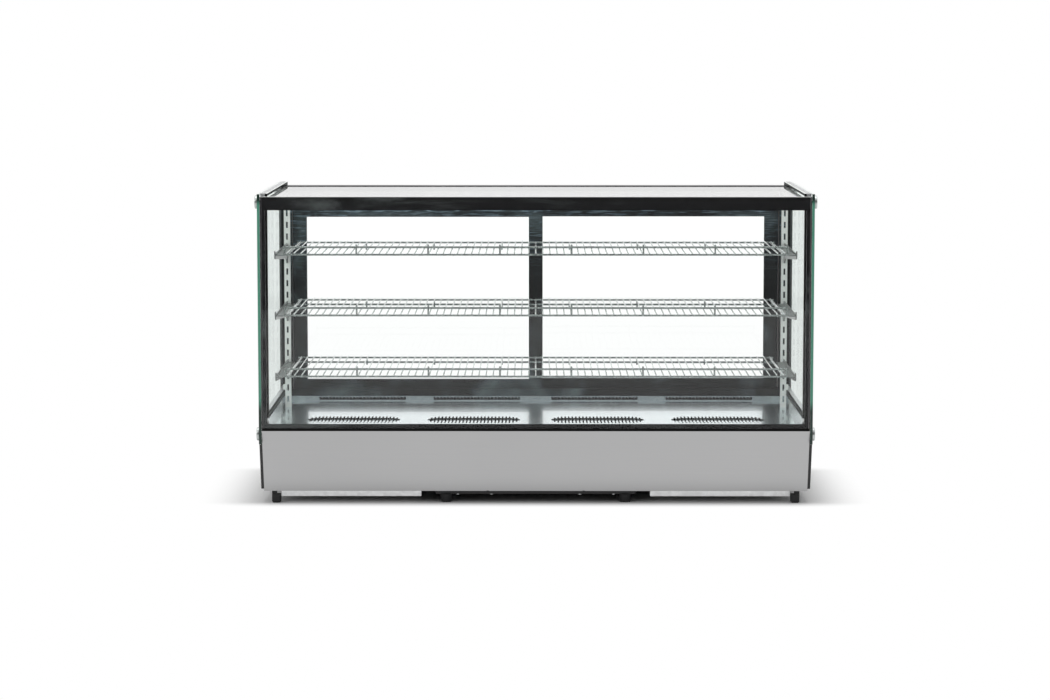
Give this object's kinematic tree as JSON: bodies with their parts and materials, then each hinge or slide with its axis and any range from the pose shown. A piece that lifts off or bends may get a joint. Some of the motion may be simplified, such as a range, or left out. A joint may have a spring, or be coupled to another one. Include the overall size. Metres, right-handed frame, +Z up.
{
  "type": "refrigerated display case",
  "caption": "Countertop refrigerated display case with flat double glazing, wire shelves, a stainless deck, rear sliding doors and a machine base below.",
  "frame": {"origin": "on the floor at the middle of the case's footprint", "axes": "+X along the front towards the viewer's right, +Y from the front glass to the sliding doors, +Z up"},
  "size_m": [1.214, 0.56, 0.679],
  "materials": {
    "satin_steel": "fine satin brushed",
    "deck_steel": "polished stainless",
    "black_steel": "black powder coat",
    "galvanised": "galvanised",
    "white_steel": "white powder coat",
    "black_anodised": "black anodised",
    "bare_aluminium": "mill",
    "chrome": "polished",
    "chrome_wire": "bright plated wire",
    "zinc": "zinc plated",
    "copper": "drawn copper",
    "clear_glass": "clear toughened",
    "black_rubber": "matt",
    "black_plastic": "fine texture",
    "white_plastic": "smooth",
    "foam": "rigid foam with a liner",
    "key_rubber": "satin",
    "rocker_plastic": "smooth",
    "opal": "opal",
    "compressor_black": "gloss black"
  },
  "bodies": {
    "case": {"base_pans": "galvanised", "base_rails": "galvanised", "compressor_tray": "black_steel", "corner_feet": "black_rubber", "tray_feet": "black_rubber", "front_panel": "satin_steel", "side_panel_left": "black_steel", "side_panel_right": "black_steel", "back_panel": "black_steel", "insulated_tub": "foam", "deck": "deck_steel", "deck_upstands": "deck_steel", "compressor": "compressor_black", "condenser_coil": "bare_aluminium", "condenser_shroud": "galvanised", "condenser_fan_motor": "black_plastic", "evaporator_coils": "bare_aluminium", "evaporator_fan_motors": "black_plastic", "filter_drier": "copper", "refrigerant_lines": "copper", "drain_tray": "white_plastic", "controller_body": "black_plastic", "switch_housings": "black_plastic", "power_inlet": "black_plastic", "front_glass_outer": "clear_glass", "front_glass_inner": "clear_glass", "side_glass_outer": "clear_glass", "side_glass_inner": "clear_glass", "top_glass": "clear_glass", "glass_spacers": "bare_aluminium", "glass_seals": "black_rubber", "glass_discs": "chrome", "rear_sill": "black_anodised", "rear_head": "black_anodised", "rear_jambs": "black_anodised", "pilasters": "white_steel", "shelf_brackets": "white_steel", "lamp_channel": "bare_aluminium", "lamp_diffuser": "opal", "fasteners": "zinc"},
    "door_left": {"door_left_frame": "black_anodised", "door_left_glass": "clear_glass", "door_left_pull": "black_plastic", "door_left_glides": "white_plastic"},
    "door_right": {"door_right_frame": "black_anodised", "door_right_glass": "clear_glass", "door_right_pull": "black_plastic", "door_right_glides": "white_plastic"},
    "shelf_bottom": {"shelf_bottom": "chrome_wire"},
    "shelf_middle": {"shelf_middle": "chrome_wire"},
    "shelf_top": {"shelf_top": "chrome_wire"},
    "condenser_fan": {"condenser_fan": "bare_aluminium"},
    "evaporator_fan_left": {"evaporator_fan_left": "black_plastic"},
    "evaporator_fan_right": {"evaporator_fan_right": "black_plastic"},
    "key_set": {"key_set": "key_rubber"},
    "key_up": {"key_up": "key_rubber"},
    "key_defrost": {"key_defrost": "key_rubber"},
    "key_down": {"key_down": "key_rubber"},
    "rocker_power": {"rocker_power": "rocker_plastic"},
    "rocker_lamp": {"rocker_lamp": "rocker_plastic"}
  },
  "joints": [
    {"name": "door_left_slide", "type": "slide", "parent": "case", "child": "door_left", "axis": [1, 0, 0], "range_m": [0, 0.545]},
    {"name": "door_right_slide", "type": "slide", "parent": "case", "child": "door_right", "axis": [1, 0, 0], "range_m": [-0.545, 0]},
    {"name": "shelf_bottom_lift", "type": "slide", "parent": "case", "child": "shelf_bottom", "axis": [0, 0, 1], "range_m": [0, 0.025]},
    {"name": "shelf_middle_lift", "type": "slide", "parent": "case", "child": "shelf_middle", "axis": [0, 0, 1], "range_m": [0, 0.025]},
    {"name": "shelf_top_lift", "type": "slide", "parent": "case", "child": "shelf_top", "axis": [0, 0, 1], "range_m": [0, 0.025]},
    {"name": "condenser_fan_spin", "type": "hinge", "parent": "case", "child": "condenser_fan", "pos_m": [-0.07, -0.139, 0.077], "axis": [0, 1, 0], "continuous": true},
    {"name": "evaporator_fan_left_spin", "type": "hinge", "parent": "case", "child": "evaporator_fan_left", "pos_m": [-0.407, -0.038, 0.092], "axis": [0, 1, 0], "continuous": true},
    {"name": "evaporator_fan_right_spin", "type": "hinge", "parent": "case", "child": "evaporator_fan_right", "pos_m": [0.407, -0.038, 0.092], "axis": [0, 1, 0], "continuous": true},
    {"name": "key_set_press", "type": "slide", "parent": "case", "child": "key_set", "axis": [0, -1, 0], "range_m": [0, 0.0008], "stiffness_N_per_m": 600},
    {"name": "key_up_press", "type": "slide", "parent": "case", "child": "key_up", "axis": [0, -1, 0], "range_m": [0, 0.0008], "stiffness_N_per_m": 600},
    {"name": "key_defrost_press", "type": "slide", "parent": "case", "child": "key_defrost", "axis": [0, -1, 0], "range_m": [0, 0.0008], "stiffness_N_per_m": 600},
    {"name": "key_down_press", "type": "slide", "parent": "case", "child": "key_down", "axis": [0, -1, 0], "range_m": [0, 0.0008], "stiffness_N_per_m": 600},
    {"name": "rocker_power_tilt", "type": "hinge", "parent": "case", "child": "rocker_power", "pos_m": [-0.086, 0.2705, 0.118], "axis": [1, 0, 0], "range_deg": [0, 14]},
    {"name": "rocker_lamp_tilt", "type": "hinge", "parent": "case", "child": "rocker_lamp", "pos_m": [-0.062, 0.2705, 0.118], "axis": [1, 0, 0], "range_deg": [0, 14]}
  ]
}
